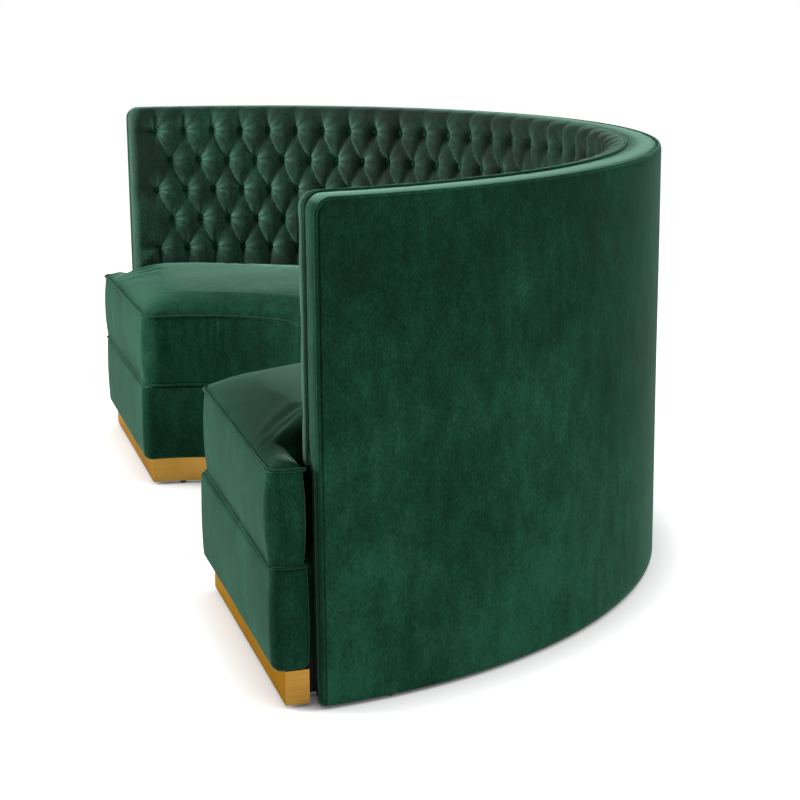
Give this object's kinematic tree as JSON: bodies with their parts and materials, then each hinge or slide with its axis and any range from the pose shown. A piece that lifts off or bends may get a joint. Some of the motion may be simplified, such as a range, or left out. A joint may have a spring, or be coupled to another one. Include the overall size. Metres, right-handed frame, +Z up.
{
  "type": "restaurant booth",
  "caption": "Half-round upholstered booth with a tall deep-buttoned curved back, a half-ring seat with a loose boxed cushion, and a recessed brass plinth.",
  "frame": {"origin": "on the floor under the middle of the booth's bounding box", "axes": "+Z up; the open front faces -Y; +X runs along the front to the right, seen from the front"},
  "size_m": [2.366, 1.2153, 0.9997],
  "materials": {
    "velvet": "matte",
    "brass": "satin",
    "plywood": "matte",
    "foam": "matte",
    "platform_cloth": "matte",
    "glide_plastic": "matte"
  },
  "bodies": {
    "booth": {"back_bottom_rail": "plywood", "back_dust_cover": "platform_cloth", "back_end_posts": "plywood", "back_foam": "foam", "back_inner_panel": "plywood", "back_lower_lining": "plywood", "back_lower_ribs": "plywood", "back_outer_panel": "plywood", "back_seat_rail": "plywood", "back_top_rail": "plywood", "back_upper_ribs": "plywood", "base_cover": "velvet", "border_band": "velvet", "brass_end_left": "brass", "brass_end_right": "brass", "brass_front": "brass", "inner_piping": "velvet", "joining_cleats": "plywood", "outer_cover": "velvet", "outer_piping": "velvet", "platform_cloth": "platform_cloth", "plinth_glides": "glide_plastic", "plinth_ring": "plywood", "seat_back_rail": "plywood", "seat_deck": "plywood", "seat_end_panels": "plywood", "seat_front_rail": "plywood", "seat_ribs": "plywood", "seat_side_blocks": "plywood", "tuft_buttons": "velvet", "tufted_cover": "velvet", "wall_glides": "glide_plastic"},
    "cushion": {"seat_cushion": "velvet", "cushion_top_piping": "velvet", "cushion_bottom_piping": "velvet"}
  },
  "joints": [
    {"name": "cushion_lift", "type": "slide", "parent": "booth", "child": "cushion", "axis": [0, 0, 1], "range_m": [0, 0.3]}
  ]
}
